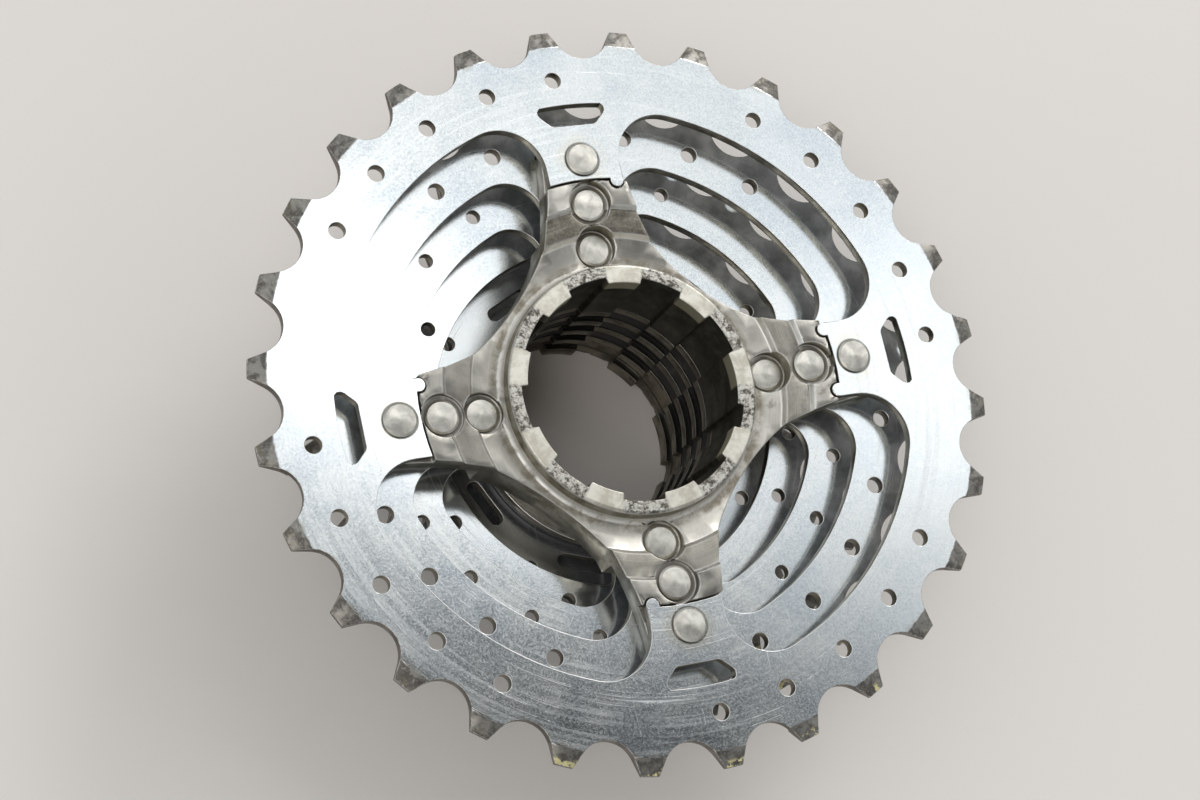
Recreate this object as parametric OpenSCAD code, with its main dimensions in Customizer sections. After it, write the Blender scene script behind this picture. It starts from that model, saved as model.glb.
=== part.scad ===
// Eight-speed bicycle cassette standing on its small end, large sprocket up.
// +Z is the wheel side, the origin is the centre of the face it stands on,
// and +X runs along one arm of the carrier that holds the three big sprockets.

/* [Chain and stack] */
// Distance between two chain rollers
pitch = 12.7; // [12.6:0.05:12.8]
// Depth of the roller seat below the pitch circle
seat_depth = 3.885; // [3.8:0.005:3.95]
// Distance from one sprocket to the next
stack_step = 4.8; // [4.7:0.05:5]
// Thickness of every sprocket plate
plate_t = 1.8; // [1.7:0.05:1.9]
// Axial play between two loose pieces
play = 0.02; // [0.01:0.01:0.05]
// Height of the seat that the lockring would press on
seat_h = 1.2; // [0.8:0.1:1.6]

/* [Teeth] */
// Height of a tooth from the bottom of the gap
tooth_h = 4.7; // [4.2:0.1:5.2]
// Radius at the bottom of the gap between two teeth
gap_r = 4.4; // [4.2:0.1:4.6]
// Slope of a tooth's flank
tooth_slope = 22; // [18:0.5:24]
// Length of the bevel towards the tooth's tip
bevel_l = 2.7; // [2:0.1:3]
// How far each face drops at the tip
bevel_drop = 0.55; // [0.3:0.05:0.7]

/* [Splined bore] */
// Radius inside the lands
land_r = 16.35; // [16.2:0.05:16.5]
// Radius at the bottom of the grooves
groove_r = 17.3; // [17.1:0.05:17.4]
// Angle of the first wide groove
groove_at = 22.2; // [20:0.2:24]
// Width of the eight wide grooves
groove_w = 6.3; // [5.8:0.1:6.6]
// Width of the one narrow groove
key_w = 3.6; // [3:0.1:4]
// Angle of the narrow groove
key_at = -23.2; // [-25:0.2:-22]

/* [Carrier] */
// Outer radius of the raised rim round the bore
rim_r = 19.4; // [19.2:0.1:19.6]
// Radius of the hub's long sleeve
sleeve_r = 20.6; // [20.4:0.1:20.8]
// Distance of the waist between two arms from the axis
waist_r = 21.2; // [21:0.1:21.5]
// Radius of the concave waist
waist_bend = 41.5; // [38:0.5:46]
// Half width of an arm where it leaves the hub
arm_root_w = 8.6; // [8.2:0.1:9]
// Half width of an arm at its outer rivet
arm_end_w = 6.35; // [6.2:0.05:6.6]
// Radius where the step for the largest sprocket begins
step_r = 32.85; // [32.3:0.05:32.9]
// Outer end of an arm
arm_r = 40.2; // [39.6:0.1:40.6]

/* [Rivets] */
// Radius of the outer rivets
outer_at = 36.3; // [36:0.1:36.6]
// Radius of the middle rivets
middle_at = 29.6; // [29.3:0.1:29.9]
// Radius of the inner rivets
inner_at = 23; // [22.8:0.1:23.3]
// Radius of a rivet's head
head_r = 2.6; // [2.3:0.05:2.7]
// Height of a rivet's head
head_h = 0.62; // [0.5:0.02:0.8]
// Radius of a rivet's shank
shank_r = 1.7; // [1.5:0.05:1.9]
// Gap between a shank and its hole
shank_gap = 0.03; // [0.01:0.01:0.05]

/* [Sprocket windows] */
// Outer radius of the windows of the 28-tooth sprocket
window_28 = 44.6; // [44.3:0.1:44.9]
// Outer radius of the windows of the 24-tooth sprocket
window_24 = 37.8; // [37.5:0.1:38.1]
// Outer radius of the windows of the 21-tooth sprocket
window_21 = 32; // [31.7:0.1:32.3]
// Outer radius of the windows of the 18-tooth sprocket
window_18 = 27; // [26.7:0.1:27.3]
// Half width of the tabs of the three riveted sprockets
tab_w = 5.9; // [5.7:0.1:6.1]
// Inner end of the tabs of the 28-tooth sprocket
tab_28 = 33.15; // [33.1:0.05:33.4]

/* [Small details] */
// Radius of the hole below a tooth
hole_r = 1.28; // [1:0.02:1.4]
// Radius of those holes on the inner sprockets
small_hole_r = 1.1; // [0.9:0.05:1.2]
// Outer radius of the loose spacers
spacer_r = 20.2; // [19.8:0.1:20.4]
// Bore radius of the loose spacers
spacer_bore = 17.45; // [17.4:0.05:17.6]
// Depth of the shift ramps pressed into the outboard faces
ramp_d = 0.5; // [0.3:0.05:0.7]

/* [Hidden] */
$fn = 96;

// Top face of the largest sprocket above the face the cassette stands on
top_z = 7 * stack_step + plate_t + seat_h;

// Angle of one tooth of each sprocket
turn_28 = 2.04;
turn_24 = 2.11;
turn_21 = 13.15;
turn_18 = 5.88;
turn_16 = 8.4;
turn_14 = 4.2;
turn_12 = 11.3;
turn_11 = 2.6;

// Teeth that have a hole below them, counted anticlockwise from the first
drilled_28 = [for (arm = [0:3]) for (k = [0:4]) arm * 7 + k];
drilled_24 = [3, 4, 5, 7, 8, 13, 14, 15, 16, 19, 20, 21, 22, 23];
drilled_21 = [3, 6, 7, 11, 12, 13, 14, 17, 18, 19];
drilled_18 = [1, 4, 7, 10, 12, 16, 17];
drilled_16 = [0, 2, 4, 6, 8, 10, 12, 14];

// Depths of the carrier's faces and rivet seats below the top face
step_d = plate_t;
arm_d = stack_step;
pad_d = 2 * stack_step;
sleeve_d = 3 * stack_step;
middle_seat_d = 2;
inner_seat_d = 4.1;
seat_r_middle = 3.3;
seat_r_inner = 3.15;
tail_r = 2.5;
tail_h = 0.8;
sunk_tail_h = 1;

steel = [0.74, 0.78, 0.80];
old_steel = [0.60, 0.63, 0.65];
alloy = [0.66, 0.64, 0.60];
rivet_metal = [0.82, 0.80, 0.75];
resin = [0.17, 0.17, 0.18];

function root_r(n) = pitch / 2 / sin(180 / n) - seat_depth;
function tip_r(n) = root_r(n) + tooth_h;
function face_z(i) = top_z - i * stack_step;

// Outline of a sprocket: a disc with one round-bottomed flaring gap per tooth
module toothed_disc(n, turn) {
    flare = tooth_slope + 180 / n;
    cx = root_r(n) + gap_r;
    tx = cx - gap_r * sin(flare);
    ty = gap_r * cos(flare);
    ox = tip_r(n) + 1;
    oy = ty + (ox - tx) * tan(flare);
    difference() {
        circle(r = tip_r(n));
        for (i = [0:n - 1]) rotate(turn + (i + 0.5) * 360 / n) {
            translate([cx, 0]) circle(r = gap_r, $fn = 48);
            polygon([[tx, -ty], [ox, -oy], [ox, oy], [tx, ty]]);
        }
    }
}

// Plate whose teeth thin towards their tips on both faces, top face at z = 0
module plate(n, turn) {
    r = tip_r(n);
    out = r + 0.4;
    drop = bevel_drop * (out - r + bevel_l) / bevel_l;
    intersection() {
        translate([0, 0, -plate_t]) linear_extrude(plate_t) toothed_disc(n, turn);
        rotate_extrude() polygon([
            [0, 0], [r - bevel_l, 0], [out, -drop],
            [out, drop - plate_t], [r - bevel_l, -plate_t], [0, -plate_t]
        ]);
    }
}

// Holes below the listed teeth
module tooth_holes(n, turn, list, at, r) {
    for (k = list) rotate(turn + k * 360 / n) translate([at, 0, -plate_t - 1])
        cylinder(r = r, h = plate_t + 2, $fn = 32);
}

// Shift ramps pressed into the outboard face, spread evenly round the plate
module ramps(n, turn, count) {
    r = root_r(n);
    for (k = [0:count - 1]) rotate(turn + (floor(k * n / count) + 0.5) * 360 / n)
        translate([0, 0, -plate_t - 1]) linear_extrude(1 + ramp_d) {
            translate([r - 1.2, -2.6]) circle(r = 1.9, $fn = 32);
            translate([r + 1.4, 2.2]) circle(r = 1.9, $fn = 32);
            translate([r + 0.1, -0.2]) rotate(atan2(4.8, 2.6))
                square([5.46, 3.8], center = true);
        }
}

// One tab along +X with round inner corners against the window's outer edge
module tab(r_out, half_w, corner) {
    cy = half_w + corner;
    cx = sqrt(pow(r_out - corner, 2) - cy * cy);
    k = r_out / (r_out - corner);
    difference() {
        polygon([
            [0, -half_w], [cx, -half_w], [cx, -cy], [k * cx, -k * cy],
            [r_out + 1, -k * cy], [r_out + 1, k * cy], [k * cx, k * cy],
            [cx, cy], [cx, half_w], [0, half_w]
        ]);
        for (side = [-1, 1]) translate([cx, side * cy]) circle(r = corner);
    }
}

// Everything inside the windows' outer edge except the four tabs
module four_windows(r_out, half_w, corner) {
    difference() {
        circle(r = r_out);
        for (a = [0:90:270]) rotate(a) tab(r_out, half_w, corner);
    }
}

// Splined bore: eight wide grooves and one narrow one
module spline_bore() {
    circle(r = land_r);
    intersection() {
        circle(r = groove_r);
        union() {
            for (k = [0:7]) rotate(groove_at + 40 * k) translate([10, -groove_w / 2])
                square([12, groove_w]);
            rotate(key_at) translate([10, -key_w / 2]) square([12, key_w]);
        }
    }
}

// Small locating ears at the inner end of a 28-tooth sprocket's tab
module ear(side, grow) {
    translate([32.5, side * 4.85]) circle(r = 1 + grow, $fn = 32);
    translate([32.5, side * 4.85 - 1 - grow]) square([1.2, 2 + 2 * grow]);
}

module ears(grow) {
    for (a = [0:90:270]) rotate(a) ear(-1, grow);
    ear(1, grow);
}

// Long slot between an outer rivet and the teeth
module rivet_slot() {
    intersection() {
        circle(r = 45.35);
        polygon([
            [41.9, -3.2], [42.1, -3.65], [43.5, -5.1], [44, -5.38], [44.6, -5.38],
            [45.05, -5], [46, -4.3], [46, 4.3], [45.05, 5], [44.6, 5.38], [44, 5.38],
            [43.5, 5.1], [42.1, 3.65], [41.9, 3.2]
        ]);
    }
}

// Round-ended slot across angle 0
module round_slot(r, w, half_angle) {
    half = r * sin(half_angle);
    at = r * cos(half_angle);
    for (s = [-1, 1]) translate([at, s * half]) circle(r = w / 2, $fn = 32);
    translate([at - w / 2, -half]) square([w, 2 * half]);
}

// Outline of the four-armed carrier
module carrier_outline() {
    bend = 63;
    from = [23.2, arm_root_w];
    to = [33, arm_end_w];
    mid = (from + to) / 2;
    half = norm(to - from) / 2;
    along = (to - from) / (2 * half);
    off = sqrt(bend * bend - half * half);
    cx = mid[0] - along[1] * off;
    cy = mid[1] + along[0] * off;
    for (a = [0:90:270]) rotate(a) difference() {
        polygon([
            [0, -arm_root_w], [23.2, -arm_root_w], [arm_r - 1.4, -arm_end_w - 1.5],
            [arm_r - 1.4, -arm_end_w + 0.2], [arm_r, -arm_end_w + 1.6],
            [arm_r, arm_end_w - 1.6], [arm_r - 1.4, arm_end_w - 0.2],
            [arm_r - 1.4, arm_end_w + 1.5], [23.2, arm_root_w], [0, arm_root_w]
        ]);
        for (side = [-1, 1]) translate([cx, side * cy]) circle(r = bend, $fn = 360);
    }
    difference() {
        rotate(45) square(45.2, center = true);
        for (a = [45:90:315]) rotate(a) translate([waist_r + waist_bend, 0])
            circle(r = waist_bend, $fn = 240);
    }
}

// Turned profile of the carrier, heights measured down from the top face
module carrier_profile() {
    polygon([
        [10, 0], [rim_r - 0.35, 0], [rim_r, -0.35], [rim_r + 0.12, -2.3],
        [rim_r + 0.35, -2.9], [rim_r + 0.9, -3.3], [24.4, -2.4], [24.9, -1.5],
        [28.6, -1.3], [29.1, -0.55], [step_r, -0.15], [step_r, -step_d],
        [arm_r, -step_d], [arm_r, 0.7 - arm_d], [arm_r - 0.7, -arm_d],
        [26.3, -arm_d], [26.3, -pad_d], [sleeve_r, -pad_d],
        [sleeve_r, play - sleeve_d], [10, play - sleeve_d]
    ]);
}

module at_arms(r) {
    for (a = [0:90:270]) rotate(a) translate([r, 0, 0]) children();
}

module spider_carrier() {
    color(alloy) translate([0, 0, top_z]) difference() {
        intersection() {
            translate([0, 0, -20]) linear_extrude(21) carrier_outline();
            rotate_extrude($fn = 180) carrier_profile();
        }
        translate([0, 0, -20]) linear_extrude(21) spline_bore();
        translate([0, 0, -step_d]) linear_extrude(3) ears(0.2);
        at_arms(middle_at) translate([0, 0, -middle_seat_d]) cylinder(r = seat_r_middle, h = 3);
        at_arms(inner_at) translate([0, 0, -inner_seat_d]) cylinder(r = seat_r_inner, h = 5);
        for (r = [outer_at, middle_at, inner_at]) at_arms(r) translate([0, 0, -12])
            cylinder(r = shank_r + shank_gap, h = 13, $fn = 48);
        at_arms(outer_at) translate([0, 0, -arm_d - 1])
            cylinder(r = tail_r + 0.1, h = 1 + sunk_tail_h, $fn = 48);
    }
}

module sprocket_28() {
    color(steel) translate([0, 0, face_z(0)]) difference() {
        plate(28, turn_28);
        translate([0, 0, -3]) linear_extrude(4) {
            four_windows(window_28, tab_w, 7);
            difference() {
                circle(r = tab_28);
                ears(0);
            }
            for (a = [0:90:270]) rotate(a) rivet_slot();
        }
        tooth_holes(28, turn_28, drilled_28, 49.46, hole_r);
        at_arms(outer_at) translate([0, 0, -3])
            cylinder(r = shank_r + shank_gap, h = 4, $fn = 48);
        ramps(28, turn_28, 4);
    }
}

module sprocket_24() {
    color(steel) translate([0, 0, face_z(1)]) difference() {
        plate(24, turn_24);
        translate([0, 0, -3]) linear_extrude(4) {
            four_windows(window_24, tab_w, 6);
            circle(r = 26.6);
        }
        tooth_holes(24, turn_24, drilled_24, 41.78, hole_r);
        at_arms(middle_at) translate([0, 0, -3])
            cylinder(r = shank_r + shank_gap, h = 4, $fn = 48);
        ramps(24, turn_24, 4);
    }
}

module sprocket_21() {
    color(steel) translate([0, 0, face_z(2)]) difference() {
        plate(21, turn_21);
        translate([0, 0, -3]) linear_extrude(4) {
            four_windows(window_21, tab_w, 5);
            circle(r = sleeve_r + 0.1);
        }
        tooth_holes(21, turn_21, drilled_21, 35.98, small_hole_r);
        at_arms(inner_at) translate([0, 0, -3])
            cylinder(r = shank_r + shank_gap, h = 4, $fn = 48);
        ramps(21, turn_21, 3);
    }
}

// Rivet standing on z = 0 with its head up, its shank down and a tail below
module rivet(grip, foot_h) {
    rotate_extrude($fn = 64) polygon([
        [0, head_h + 0.12], [head_r - 0.35, head_h - 0.06], [head_r, head_h - 0.3], [head_r, 0],
        [shank_r, 0], [shank_r, -grip], [tail_r, -grip], [tail_r, 0.2 - grip - foot_h],
        [tail_r - 0.2, -grip - foot_h], [0, -grip - foot_h]
    ]);
}

module outer_rivet(k) {
    color(rivet_metal) rotate(90 * k) translate([outer_at, 0, top_z])
        rivet(arm_d - sunk_tail_h, sunk_tail_h - 0.05);
}

module middle_rivet(k) {
    color(rivet_metal) rotate(90 * k) translate([middle_at, 0, top_z - middle_seat_d])
        rivet(arm_d + plate_t - middle_seat_d, tail_h);
}

module inner_rivet(k) {
    color(rivet_metal) rotate(90 * k) translate([inner_at, 0, top_z - inner_seat_d])
        rivet(pad_d + plate_t - inner_seat_d, tail_h);
}

module sprocket_18() {
    color(steel) translate([0, 0, face_z(3)]) difference() {
        plate(18, turn_18);
        translate([0, 0, -3]) linear_extrude(4) {
            spline_bore();
            difference() {
                four_windows(window_18, 3.6, 2.4);
                circle(r = 20.9);
            }
        }
        tooth_holes(18, turn_18, drilled_18, 30.25, small_hole_r);
        ramps(18, turn_18, 3);
    }
}

module sprocket_16() {
    color(old_steel) translate([0, 0, face_z(4)]) difference() {
        plate(16, turn_16);
        translate([0, 0, -3]) linear_extrude(4) {
            spline_bore();
            for (k = [0:7]) rotate(206 + 45 * k) round_slot(23, 2.2, 7);
        }
        tooth_holes(16, turn_16, drilled_16, 26.1, small_hole_r);
        ramps(16, turn_16, 2);
    }
}

module sprocket_14() {
    color(old_steel) translate([0, 0, face_z(5)]) difference() {
        plate(14, turn_14);
        translate([0, 0, -3]) linear_extrude(4) spline_bore();
        ramps(14, turn_14, 2);
    }
}

module sprocket_12() {
    color(old_steel) translate([0, 0, face_z(6)]) difference() {
        plate(12, turn_12);
        translate([0, 0, -3]) linear_extrude(4) spline_bore();
    }
}

// Smallest sprocket with its own collar above and the lockring seat below
module sprocket_11() {
    collar_h = stack_step - plate_t - play;
    seat_r = 18.9;
    color(old_steel) translate([0, 0, face_z(7)]) difference() {
        union() {
            plate(11, turn_11);
            difference() {
                cylinder(r = 18.5, h = collar_h);
                translate([0, 0, -1]) cylinder(r = spacer_bore, h = collar_h + 2);
            }
            translate([0, 0, -plate_t - seat_h]) cylinder(r = seat_r, h = seat_h + 0.2);
        }
        translate([0, 0, -plate_t - seat_h - 1])
            linear_extrude(plate_t + seat_h + 1.001) spline_bore();
        for (k = [0:29]) rotate(12 * k + 4) translate([18, 0, -plate_t - seat_h])
            cube([3, 0.9, 0.5], center = true);
    }
}

// Plain spacer ring between two loose sprockets, edges broken on both sides
module spacer(i) {
    h = stack_step - plate_t - 2 * play;
    color(resin) translate([0, 0, face_z(i) - plate_t - play - h]) rotate_extrude() polygon([
        [spacer_bore, 0.2], [spacer_bore + 0.2, 0], [spacer_r - 0.3, 0], [spacer_r, 0.3],
        [spacer_r, h - 0.3], [spacer_r - 0.3, h], [spacer_bore + 0.2, h], [spacer_bore, h - 0.2]
    ]);
}

module spacer_18_16() { spacer(3); }
module spacer_16_14() { spacer(4); }
module spacer_14_12() { spacer(5); }

spider_carrier();
sprocket_28();
sprocket_24();
sprocket_21();
outer_rivet(0);  // rivet_outer_1
outer_rivet(1);  // rivet_outer_2
outer_rivet(2);  // rivet_outer_3
outer_rivet(3);  // rivet_outer_4
middle_rivet(0);  // rivet_middle_1
middle_rivet(1);  // rivet_middle_2
middle_rivet(2);  // rivet_middle_3
middle_rivet(3);  // rivet_middle_4
inner_rivet(0);  // rivet_inner_1
inner_rivet(1);  // rivet_inner_2
inner_rivet(2);  // rivet_inner_3
inner_rivet(3);  // rivet_inner_4
sprocket_18();
spacer_18_16();
sprocket_16();
spacer_16_14();
sprocket_14();
spacer_14_12();
sprocket_12();
sprocket_11();
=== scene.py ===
import math

import bpy
from mathutils import Euler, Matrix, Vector


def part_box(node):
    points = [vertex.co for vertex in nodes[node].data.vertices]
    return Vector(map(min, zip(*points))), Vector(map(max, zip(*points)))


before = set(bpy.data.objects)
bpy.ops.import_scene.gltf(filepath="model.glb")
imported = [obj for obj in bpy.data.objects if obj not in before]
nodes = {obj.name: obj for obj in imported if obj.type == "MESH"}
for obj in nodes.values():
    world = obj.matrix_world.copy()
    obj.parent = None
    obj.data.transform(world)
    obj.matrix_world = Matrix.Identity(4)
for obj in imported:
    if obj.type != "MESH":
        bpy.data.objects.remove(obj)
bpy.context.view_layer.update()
scene = bpy.context.scene

TO_MM = 1000.0
# radii of the rivet circles, in mm
OUTER_RIVETS = 36.3
MIDDLE_RIVETS = 29.6
INNER_RIVETS = 23.0
# first wide groove of the bore and the step to the next, in degrees
GROOVE_AT = 22.2
GROOVE_STEP = 40.0
# size of the small rounds on sharp edges, in metres
STEEL_ROUND = 0.00008
ALLOY_ROUND = 0.00018
FLOOR_SIZE = 6.0
FLOOR_Z = -0.00002


# ---------------------------------------------------------------- camera
cam_data = bpy.data.cameras.new("camera")
cam_data.sensor_fit = "HORIZONTAL"
cam_data.sensor_width = 36.0
cam_data.lens = 71.8
cam_data.clip_start = 0.01
cam_data.clip_end = 20.0
cam = bpy.data.objects.new("camera", cam_data)
scene.collection.objects.link(cam)
cam.location = (-0.12658, -0.07800, 0.35907)
cam.rotation_euler = Euler([math.radians(a) for a in (16.838, -17.263, -13.110)], "XYZ")
scene.camera = cam


# ---------------------------------------------------------------- node helper
class Tree:
    """Short calls for building one material's nodes."""

    def __init__(self, name):
        self.mat = bpy.data.materials.new(name)
        self.mat.use_nodes = True
        self.t = self.mat.node_tree
        self.n = self.t.nodes
        self.bsdf = next(x for x in self.n if x.type == "BSDF_PRINCIPLED")
        self.obj = self.n.new("ShaderNodeTexCoord").outputs["Object"]
        geometry = self.n.new("ShaderNodeNewGeometry")
        self.normal = geometry.outputs["Normal"]
        self.true_normal = geometry.outputs["True Normal"]

    def put(self, socket, value):
        if hasattr(value, "is_output") or isinstance(value, bpy.types.NodeSocket):
            self.t.links.new(value, socket)
        elif isinstance(value, (tuple, list)) and len(value) == 3 and socket.type == "RGBA":
            socket.default_value = (*value, 1.0)
        else:
            socket.default_value = value

    def math(self, op, a, b=None, c=None, clamp=False):
        m = self.n.new("ShaderNodeMath")
        m.operation = op
        m.use_clamp = clamp
        for i, v in enumerate((a, b, c)):
            if v is not None:
                self.put(m.inputs[i], v)
        return m.outputs[0]

    def add(self, a, b):
        return self.math("ADD", a, b)

    def sub(self, a, b):
        return self.math("SUBTRACT", a, b)

    def mul(self, a, b):
        return self.math("MULTIPLY", a, b)

    def step(self, v, lo, hi, a=0.0, b=1.0):
        """Smooth ramp of v from lo to hi, giving a to b."""
        m = self.n.new("ShaderNodeMapRange")
        m.interpolation_type = "SMOOTHSTEP"
        self.put(m.inputs["Value"], v)
        m.inputs["From Min"].default_value = lo
        m.inputs["From Max"].default_value = hi
        m.inputs["To Min"].default_value = a
        m.inputs["To Max"].default_value = b
        return m.outputs["Result"]

    def band(self, v, lo, hi, soft):
        """1 where v lies between lo and hi, with soft ends."""
        rise = self.step(v, lo - soft, lo + soft)
        return self.mul(rise, self.step(v, hi - soft, hi + soft, 1.0, 0.0))

    def largest(self, a, b):
        return self.math("MAXIMUM", a, b)

    def length(self, x, y):
        return self.math("SQRT", self.add(self.mul(x, x), self.mul(y, y)))

    def mix(self, f, a, b, mode="MIX"):
        m = self.n.new("ShaderNodeMix")
        m.data_type = "RGBA"
        m.blend_type = mode
        self.put(m.inputs[0], f)
        self.put(m.inputs[6], a)
        self.put(m.inputs[7], b)
        return m.outputs[2]

    def mixf(self, f, a, b):
        """Number between a and b, by f."""
        m = self.n.new("ShaderNodeMix")
        m.data_type = "FLOAT"
        self.put(m.inputs[0], f)
        self.put(m.inputs[2], a)
        self.put(m.inputs[3], b)
        return m.outputs[0]

    def xyz(self, v):
        s = self.n.new("ShaderNodeSeparateXYZ")
        self.put(s.inputs[0], v)
        return s.outputs

    def vec(self, x, y, z):
        c = self.n.new("ShaderNodeCombineXYZ")
        for i, v in enumerate((x, y, z)):
            self.put(c.inputs[i], v)
        return c.outputs[0]

    def mapping(self, v, loc=(0, 0, 0), rot=(0, 0, 0), scale=(1, 1, 1)):
        m = self.n.new("ShaderNodeMapping")
        self.put(m.inputs["Vector"], v)
        m.inputs["Location"].default_value = loc
        m.inputs["Rotation"].default_value = rot
        m.inputs["Scale"].default_value = scale
        return m.outputs[0]

    def noise(self, v, scale, detail=3.0, rough=0.55, distort=0.0):
        m = self.n.new("ShaderNodeTexNoise")
        self.put(m.inputs["Vector"], v)
        m.inputs["Scale"].default_value = scale
        m.inputs["Detail"].default_value = detail
        m.inputs["Roughness"].default_value = rough
        m.inputs["Distortion"].default_value = distort
        return m.outputs[0]

    def bump(self, height, strength, distance, normal=None):
        b = self.n.new("ShaderNodeBump")
        b.inputs["Strength"].default_value = strength
        b.inputs["Distance"].default_value = distance
        self.put(b.inputs["Height"], height)
        if normal is not None:
            self.put(b.inputs["Normal"], normal)
        return b.outputs[0]

    def polar(self):
        """Radius in mm, angle in radians and height in mm from the axis."""
        x, y, z = self.xyz(self.obj)[:3]
        r = self.length(x, y)
        return self.mul(r, TO_MM), self.math("ARCTAN2", y, x), self.mul(z, TO_MM)

    def from_rivets(self):
        """Gives a call: from a radius in mm, the distance to the nearest of its four rivets."""
        x, y = self.xyz(self.obj)[:2]
        ax, ay = self.math("ABSOLUTE", x), self.math("ABSOLUTE", y)
        along = self.mul(self.largest(ax, ay), TO_MM)
        across = self.mul(self.math("MINIMUM", ax, ay), TO_MM)
        return lambda radius: self.length(self.sub(along, radius), across)

    def rings(self, per_mm, spread, seed, detail=3.0, rough=0.6):
        """Noise drawn out along circles round the axis."""
        r, ang, _ = self.polar()
        across = self.add(self.mul(r, per_mm), 7.3 * seed)
        east = self.mul(self.math("COSINE", ang), spread)
        north = self.mul(self.math("SINE", ang), spread)
        return self.noise(self.vec(across, east, north), 1.0, detail, rough)

    def scratches(self, seed, turns, fine=1.0):
        """Sparse straight hairlines in a few directions."""
        out = None
        for i in range(turns):
            a = 0.7 + 2.399 * (i + seed)
            shift = (0.013 * seed, 0.021 * i, 0)
            v = self.mapping(self.obj, shift, (0, 0, a), (9000 * fine, 55, 1))
            n = self.noise(v, 1.0, 2.0, 0.5)
            keep = self.noise(self.obj, 90 + 17 * i, 1.0)
            line = self.mul(self.step(n, 0.70, 0.78), self.step(keep, 0.50, 0.62))
            out = line if out is None else self.largest(out, line)
        return out

    def out(self, color, rough, metallic, normal=None):
        self.put(self.bsdf.inputs["Base Color"], color)
        self.put(self.bsdf.inputs["Roughness"], rough)
        self.put(self.bsdf.inputs["Metallic"], metallic)
        if normal is not None:
            self.put(self.bsdf.inputs["Normal"], normal)
        return self.mat


# ---------------------------------------------------------------- materials
seeds = {"sprocket_28": 1, "sprocket_24": 2, "sprocket_21": 3, "sprocket_18": 5}


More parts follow.
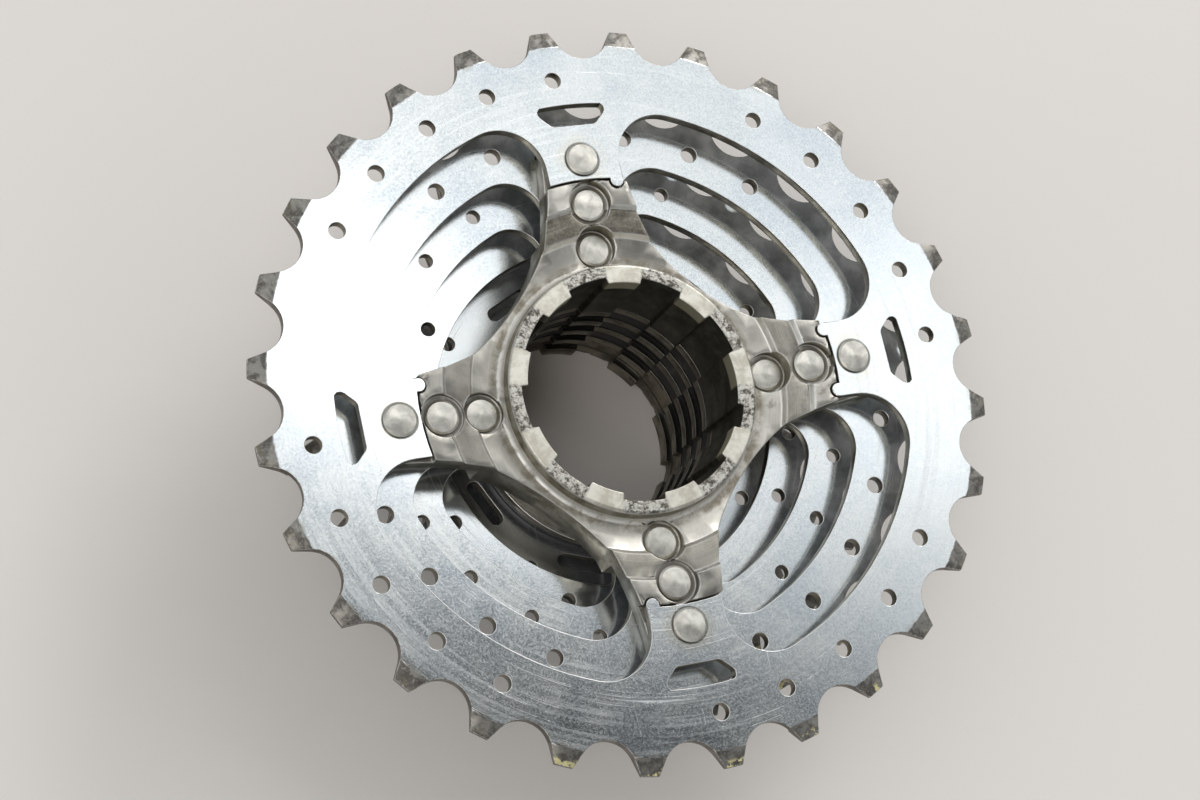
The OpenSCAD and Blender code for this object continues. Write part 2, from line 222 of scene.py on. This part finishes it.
def plated(name, tip, seed, tone=1.0, wear=0.0):
    """Plated stamped steel: speckled bloom, hairlines, drawn rings and dirty tooth tips.

    tip is the tooth tips' radius in mm. tone darkens the plating, and wear dulls it."""
    t = Tree(name)
    r, ang, _ = t.polar()
    facing = t.xyz(t.true_normal)[2]
    steep = t.math("ABSOLUTE", facing)
    flat = t.step(steep, 0.93, 0.965)
    wall = t.step(steep, 0.22, 0.12)
    under = t.step(facing, -0.5, -0.9)
    seat = t.mapping(t.obj, (0.37 * seed, 0.11 * seed, 0.0))
    cloud = t.noise(seat, 120.0, 4.0, 0.6, 0.5)
    bloom = t.noise(seat, 900.0, 5.0, 0.7)
    grain = t.noise(seat, 2600.0, 3.0, 0.7)
    fine = t.noise(seat, 5200.0, 2.0, 0.6)
    mood = t.noise(seat, 48.0, 2.0, 0.5, 0.4)
    rings = t.rings(4.2, 1.6, seed)
    broad = t.rings(1.0, 1.1, seed + 20, 2.0, 0.55)
    hair = t.scratches(seed, 3)
    swirl = t.mul(t.step(rings, 0.60, 0.72), t.step(cloud, 0.42, 0.58))
    marks = t.largest(hair, swirl)
    streak = t.mul(t.step(broad, 0.50, 0.66), t.step(mood, 0.40, 0.56))
    speck = t.step(t.add(t.mul(grain, 0.3), t.mul(fine, 0.7)), 0.50, 0.60)

    def c(red, green, blue):
        return (red * tone, green * tone, blue * tone)

    # plating colour
    col = t.mix(t.step(cloud, 0.34, 0.66), c(0.745, 0.785, 0.81), c(0.83, 0.855, 0.865))
    col = t.mix(t.mul(t.step(mood, 0.58, 0.40), 0.30), col, c(0.60, 0.69, 0.79))
    dark = t.mul(t.step(grain, 0.55, 0.38), t.step(cloud, 0.75, 0.35, 0.08, 0.26))
    col = t.mix(dark, col, c(0.40, 0.46, 0.53))
    col = t.mix(t.mul(t.step(bloom, 0.50, 0.66), 0.30), col, c(0.92, 0.94, 0.945))
    col = t.mix(t.mul(speck, 0.20), col, c(0.95, 0.96, 0.96))
    col = t.mix(t.mul(streak, 0.22), col, c(0.93, 0.94, 0.94))
    col = t.mix(t.mul(marks, 0.45), col, c(0.95, 0.955, 0.955))
    # yellow stain round the rivets of the largest sprocket, and painted shade in a dark ring at
    # the edge of their heads
    if seed == seeds["sprocket_28"]:
        far = t.from_rivets()(OUTER_RIVETS)
        halo = t.mul(t.step(far, 4.8, 3.0, 0.0, 0.34), t.step(cloud, 0.44, 0.58))
        col = t.mix(halo, col, (0.76, 0.70, 0.55))
        # painted shade: dark ring at the edge of the rivet heads
        col = t.mix(t.mul(t.step(far, 2.95, 2.68), 0.85), col, (0.10, 0.09, 0.075))
    # darker near the bore, on the faces of the smaller sprockets and on all edges there
    bore_dark = t.step(r, 19.2, 18.2)
    if tip < 40:
        col = t.mix(t.mul(bore_dark, 0.85), col, (0.10, 0.085, 0.07))
    # cut walls: brown film, yellow in places, kept dark also as painted shade in the gaps between
    # the sprockets
    stain = t.noise(seat, 260.0, 3.0, 0.6)
    wall_dirt_and_shade = t.mix(t.step(stain, 0.36, 0.70), (0.135, 0.123, 0.10), (0.33, 0.31, 0.25))
    outer = t.step(r, tip - 5.6, tip - 4.4)
    crust = t.mix(t.step(stain, 0.30, 0.74), (0.115, 0.103, 0.090), (0.255, 0.235, 0.21))
    wall_dirt_and_shade = t.mix(outer, wall_dirt_and_shade, crust)
    # rubbed metal on the edges near the teeth; elsewhere a painted highlight, edges lighter than
    # the plating
    rubbed = t.mix(t.step(grain, 0.4, 0.6), (0.22, 0.20, 0.175), (0.55, 0.54, 0.52))
    edge = t.mix(outer, c(0.93, 0.935, 0.93), rubbed)
    edge = t.mix(t.mul(bore_dark, 0.85), edge, (0.13, 0.12, 0.10))
    # dirty tooth tips, with an uneven inner border
    tooth = t.step(t.add(r, t.mul(t.sub(bloom, 0.5), 0.8)), tip - 2.78, tip - 2.50)
    dirt = t.noise(seat, 480.0, 4.0, 0.6, 0.3)
    tipc = t.mix(t.step(dirt, 0.40, 0.60), (0.10, 0.092, 0.082), (0.285, 0.275, 0.255))
    tipc = t.mix(t.mul(t.step(grain, 0.50, 0.66), 0.30), tipc, (0.48, 0.465, 0.44))
    film = t.mul(t.step(r, tip - 3.6, tip - 2.7), t.step(stain, 0.52, 0.62))
    col = t.mix(t.mul(film, 0.45), col, (0.46, 0.43, 0.37))
    col = t.mix(tooth, col, tipc)
    # painted highlight: brassy glints at the ends of the teeth on the -Y side
    flecks = t.step(t.noise(seat, 520.0, 4.0, 0.75), 0.51, 0.56)
    glint_paint = t.mul(t.step(r, tip - 1.4, tip - 0.6), flecks)
    glint_paint = t.mul(glint_paint, t.step(t.math("SINE", ang), -0.80, -0.90, 0.06, 1.0))
    col = t.mix(t.mul(glint_paint, 0.9), col, (0.95, 0.86, 0.47))
    # painted shade: a dull dark film on faces that look down, so their reflections in the sprocket
    # below read as shadow bands
    underside_shade = t.mix(t.step(dirt, 0.36, 0.64), (0.145, 0.138, 0.125), (0.33, 0.32, 0.30))
    col = t.mix(t.mul(t.mul(under, 0.85), t.step(marks, 1.0, 0.2, 0.45, 1.0)), col, underside_shade)
    col = t.mix(wall, t.mix(flat, edge, col), wall_dirt_and_shade)
    rough = t.add(0.10 + 0.08 * wear, t.mul(cloud, 0.08))
    rough = t.add(rough, t.mul(t.sub(grain, 0.5), 0.10))
    rough = t.mixf(t.mul(speck, 0.3), rough, 0.30)
    rough = t.mixf(t.mul(streak, 0.6), rough, 0.24)
    rough = t.mixf(marks, rough, 0.34)
    rough = t.mixf(t.mul(t.sub(1.0, flat), 0.8), rough, 0.32)
    rough = t.mixf(t.largest(t.largest(tooth, under), wall), rough, 0.46)
    rough = t.mixf(t.mul(glint_paint, tooth), rough, 0.38)
    h = t.add(t.mul(grain, 0.6), t.mul(bloom, 0.5))
    h = t.sub(h, t.mul(hair, 0.5))
    h = t.add(h, t.mul(t.mul(dirt, tooth), 1.5))
    metal = t.mixf(t.mul(tooth, t.step(dirt, 0.6, 0.4)), 0.97, 0.55)
    return t.out(col, rough, metal, t.bump(h, 0.06, 0.00003))


def spider():
    """Forged and machined aluminium with turned bands, hairlines, brown dirt and painted shade in
    the corners, and flanks painted darker as shade.
    """
    t = Tree("forged_alloy_look")
    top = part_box("spider_carrier")[1].z * TO_MM
    r, ang, z = t.polar()
    x, y = t.xyz(t.obj)[:2]
    up = t.step(t.xyz(t.normal)[2], 0.35, 0.85)
    edge = t.band(t.xyz(t.true_normal)[2], 0.30, 0.93, 0.04)
    cloud = t.noise(t.obj, 170.0, 5.0, 0.6, 0.5)
    grain = t.noise(t.obj, 2200.0, 3.0, 0.7)
    turned = t.rings(9.0, 0.9, 3, 2.0)
    hair = t.scratches(4, 4, 0.8)
    col = t.mix(t.step(cloud, 0.35, 0.66), (0.46, 0.44, 0.40), (0.62, 0.60, 0.555))
    # matt band across each arm, darkest on the +Y one, between two bright ridges
    flatband = t.band(r, 24.85, 28.75, 0.15)
    matt = t.mix(t.step(grain, 0.36, 0.66), (0.125, 0.112, 0.088), (0.225, 0.208, 0.172))
    col = t.mix(t.mul(flatband, t.step(y, 0.010, 0.020, 0.55, 0.93)), col, matt)
    ridge = t.largest(t.band(r, 24.15, 24.8, 0.18), t.band(r, 28.75, 29.35, 0.15))
    col = t.mix(t.mul(ridge, 0.5), col, (0.78, 0.76, 0.72))
    col = t.mix(t.mul(t.step(turned, 0.55, 0.7), 0.25), col, (0.80, 0.78, 0.74))
    col = t.mix(t.mul(hair, 0.6), col, (0.88, 0.87, 0.84))
    # brown dirt and painted shade in the corner against the rim; flanks painted darker than the
    # tops as shade, with dirt
    grime = t.noise(t.obj, 330.0, 5.0, 0.7, 0.3)
    low = t.mul(t.band(r, 19.45, 21.4, 0.45), t.step(grime, 0.36, 0.62))
    col = t.mix(t.mul(low, 0.72), col, (0.17, 0.135, 0.085))
    spots = t.mul(t.step(grime, 0.60, 0.70), 0.5)
    col = t.mix(spots, col, (0.16, 0.135, 0.10))
    flank_shade_and_dirt = t.mix(t.step(grime, 0.34, 0.66), (0.20, 0.18, 0.13), (0.40, 0.38, 0.325))
    col = t.mix(up, flank_shade_and_dirt, col)
    # the -X arm and the end of the -Y one are more tarnished than the others
    dull = t.mul(t.step(x, -0.0195, -0.0245), t.step(t.math("ABSOLUTE", y), 0.016, 0.012))
    dull = t.largest(t.mul(dull, 0.55), t.step(y, -0.0240, -0.0295, 0.0, 0.78))
    tarnish = t.mix(t.step(cloud, 0.3, 0.7), (0.15, 0.145, 0.13), (0.30, 0.29, 0.265))
    col = t.mix(dull, col, tarnish)
    # painted shade: a dark ring in the gap round the sunk rivet heads
    far = t.from_rivets()
    middle = t.step(far(MIDDLE_RIVETS), 2.95 + 0.12, 2.95 - 0.12)
    inner = t.step(far(INNER_RIVETS), 2.90 + 0.12, 2.90 - 0.12)
    rivet_gap_shade = t.largest(middle, inner)
    col = t.mix(t.mul(rivet_gap_shade, 0.55), col, (0.10, 0.09, 0.075))
    # bright worn edges
    col = t.mix(t.mul(t.mul(edge, t.step(grime, 0.75, 0.45)), 0.7), col, (0.90, 0.885, 0.85))
    # rim: light over the lands, dark and chipped over the grooves
    rim = t.mul(t.band(r, 15.5, 19.35, 0.1), up)
    # two whole turns keep the angle positive
    start = math.radians(-GROOVE_AT + GROOVE_STEP / 2 + 720.0)
    turn = t.mul(t.add(ang, start), 1.0 / math.radians(GROOVE_STEP))
    near = t.math("ABSOLUTE", t.sub(t.math("FRACT", turn), 0.5))
    groove = t.step(near, 0.30, 0.25)
    ivory = t.mix(t.step(grime, 0.40, 0.62), (0.76, 0.735, 0.665), (0.55, 0.52, 0.445))
    chips = t.step(t.noise(t.obj, 1300.0, 4.0, 0.7), 0.38, 0.60)
    worn = t.mix(chips, (0.10, 0.09, 0.074), (0.60, 0.585, 0.54))
    col = t.mix(rim, col, t.mix(groove, ivory, worn))
    # darker inside the bore
    bore = t.mul(t.step(r, 17.9, 17.45), t.sub(1.0, up))
    bore_dark = t.mix(t.step(grime, 0.34, 0.70), (0.065, 0.060, 0.048), (0.140, 0.130, 0.105))
    col = t.mix(bore, col, bore_dark)
    # lighter lip at the mouth of the bore, on the lands
    lip = t.mul(t.mul(bore, t.step(z, top - 2.9, top - 2.5)), t.sub(1.0, groove))
    col = t.mix(t.mul(lip, 0.9), col, (0.60, 0.56, 0.42))
    rough = t.add(0.32, t.mul(cloud, 0.14))
    rough = t.add(rough, t.mul(t.sub(grain, 0.5), 0.14))
    rough = t.add(rough, t.mul(flatband, 0.12))
    rough = t.mixf(t.largest(low, bore), rough, 0.6)
    h = t.add(t.mul(grain, 0.6), t.mul(turned, 0.5))
    h = t.sub(h, t.mul(hair, 0.6))
    h = t.sub(h, t.mul(t.mul(t.mul(groove, rim), t.sub(1.0, chips)), 1.4))
    metal = t.mixf(t.largest(t.largest(low, spots), rivet_gap_shade), 0.95, 0.4)
    return t.out(col, rough, metal, t.bump(h, 0.3, 0.00008))


def rivet(name, centre, seed):
    """Turned rivet head: fine rings round its own centre and a soft film of dirt at the rim."""
    t = Tree(name)
    v = t.mapping(t.obj, (-centre[0], -centre[1], 0.0))
    x, y = t.xyz(v)[:2]
    rr = t.mul(t.length(x, y), TO_MM)
    rings = t.noise(t.vec(t.mul(rr, 8.0), float(seed), 0.0), 1.0, 3.0, 0.7)
    cloud = t.noise(t.obj, 520.0, 4.0, 0.6, 0.6)
    grain = t.noise(t.obj, 4200.0, 2.0, 0.6)
    col = t.mix(t.step(cloud, 0.34, 0.68), (0.50, 0.485, 0.445), (0.74, 0.72, 0.665))
    col = t.mix(t.mul(t.step(rings, 0.55, 0.72), 0.35), col, (0.86, 0.84, 0.785))
    col = t.mix(t.mul(t.step(cloud, 0.66, 0.74), 0.4), col, (0.36, 0.33, 0.27))
    col = t.mix(t.step(rr, 2.50, 2.64), col, (0.34, 0.31, 0.255))
    t.bsdf.inputs["Anisotropic"].default_value = 0.65
    t.put(t.bsdf.inputs["Tangent"], t.vec(t.mul(y, -1.0), x, 0.0))
    h = t.add(rings, t.mul(grain, 0.3))
    rough = t.add(0.30, t.mul(cloud, 0.12))
    return t.out(col, rough, 0.95, t.bump(h, 0.25, 0.00005))


def resin():
    """Dark moulded resin with a fine grain and dust."""
    t = Tree("spacer_resin_look")
    grain = t.noise(t.obj, 3000.0, 3.0, 0.6)
    dust = t.noise(t.obj, 240.0, 4.0, 0.65, 0.5)
    col = t.mix(t.step(dust, 0.5, 0.75), (0.022, 0.022, 0.024), (0.085, 0.078, 0.07))
    rough = t.add(0.42, t.mul(grain, 0.25))
    return t.out(col, rough, 0.0, t.bump(grain, 0.3, 0.00006))


def tip_of(name):
    """Radius of a sprocket's tooth tips in mm."""
    lo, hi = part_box(name)
    return max(hi.x, hi.y, -lo.x, -lo.y) * TO_MM


def assign(name, mat):
    data = nodes[name].data
    data.materials.clear()
    data.materials.append(mat)


for n, s in seeds.items():
    assign(n, plated(n + "_look", tip_of(n), s))
for i, n in enumerate(("sprocket_16", "sprocket_14", "sprocket_12", "sprocket_11")):
    assign(n, plated(n + "_look", tip_of(n), 7 + i, 0.8, 1.0))
assign("spider_carrier", spider())
rubber = resin()
for n in nodes:
    if n.startswith("spacer_"):
        assign(n, rubber)
    if n.startswith("rivet_"):
        lo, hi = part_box(n)
        assign(n, rivet(n + "_look", ((lo + hi) / 2)[:], len(n) + 3 * int(n[-1])))


# ---------------------------------------------------------------- edges
def soften(name, width):
    """Breaks every sharp edge of a CAD node by a small round."""
    o = nodes[name]
    o.modifiers.new("weld", "WELD").merge_threshold = 1e-6
    b = o.modifiers.new("edges", "BEVEL")
    b.width = width
    b.segments = 2
    b.limit_method = "ANGLE"
    b.angle_limit = math.radians(32)
    b.harden_normals = True
    b.use_clamp_overlap = False


for n in nodes:
    if n.startswith("sprocket_") or n == "spider_carrier":
        soften(n, STEEL_ROUND if n.startswith("sprocket_") else ALLOY_ROUND)


# ---------------------------------------------------------------- floor
def floor_material():
    t = Tree("floor_look")
    cloud = t.noise(t.obj, 4.0, 2.0, 0.5)
    fine = t.noise(t.obj, 900.0, 3.0, 0.6)
    col = t.mix(t.step(cloud, 0.25, 0.75), (0.815, 0.77, 0.74), (0.845, 0.805, 0.775))
    return t.out(col, 0.55, 0.0, t.bump(fine, 0.08, 0.0002))


bpy.ops.mesh.primitive_plane_add(size=FLOOR_SIZE, location=(0, 0, FLOOR_Z))
floor = bpy.context.object
floor.name = "floor"
floor.data.materials.append(floor_material())


# ---------------------------------------------------------------- light
def area(name, at, size, size_y, watts, color):
    """Rectangular light that looks at the origin."""
    data = bpy.data.lights.new(name, "AREA")
    data.shape = "RECTANGLE"
    data.size = size
    data.size_y = size_y
    data.energy = watts
    data.color = color
    o = bpy.data.objects.new(name, data)
    scene.collection.objects.link(o)
    o.location = at
    o.rotation_euler = (-Vector(at)).to_track_quat("-Z", "Y").to_euler()


area("key", (0.217, 0.310, 1.04), 0.44, 0.10, 0.25, (1.0, 0.99, 0.97))
area("second", (0.60, 0.235, 1.04), 0.16, 0.14, 0.045, (1.0, 0.99, 0.97))
area("fill", (1.0, 1.15, 0.95), 0.7, 0.7, 9.0, (1.0, 0.97, 0.94))
area("front", (-0.50, -0.31, 1.15), 0.40, 0.40, 1.9, (1.0, 0.93, 0.86))


def studio():
    """Broad pale ceiling, darker towards the horizon, with one dark flag beside the camera."""
    world = bpy.data.worlds.new("studio")
    scene.world = world
    world.use_nodes = True
    t = Tree.__new__(Tree)
    t.t = world.node_tree
    t.n = t.t.nodes
    bg = next(x for x in t.n if x.type == "BACKGROUND")
    x, y, z = t.xyz(t.n.new("ShaderNodeTexCoord").outputs["Generated"])[:3]
    high = t.math("MAXIMUM", z, 0.05)
    u = t.sub(t.math("DIVIDE", x, high), 0.20)
    v = t.sub(t.math("DIVIDE", y, high), -0.34)
    flag = t.step(t.length(u, v), 0.455, 0.60, 0.02, 1.0)
    sky = t.step(z, 0.0, 0.80, 0.30, 0.97)
    front = t.step(y, -0.95, 0.1, 0.62, 1.0)
    t.put(bg.inputs["Strength"], t.mul(t.mul(sky, flag), front))
    bg.inputs["Color"].default_value = (0.965, 0.995, 0.995, 1.0)


studio()

scene.view_settings.view_transform = "Standard"
scene.view_settings.look = "None"
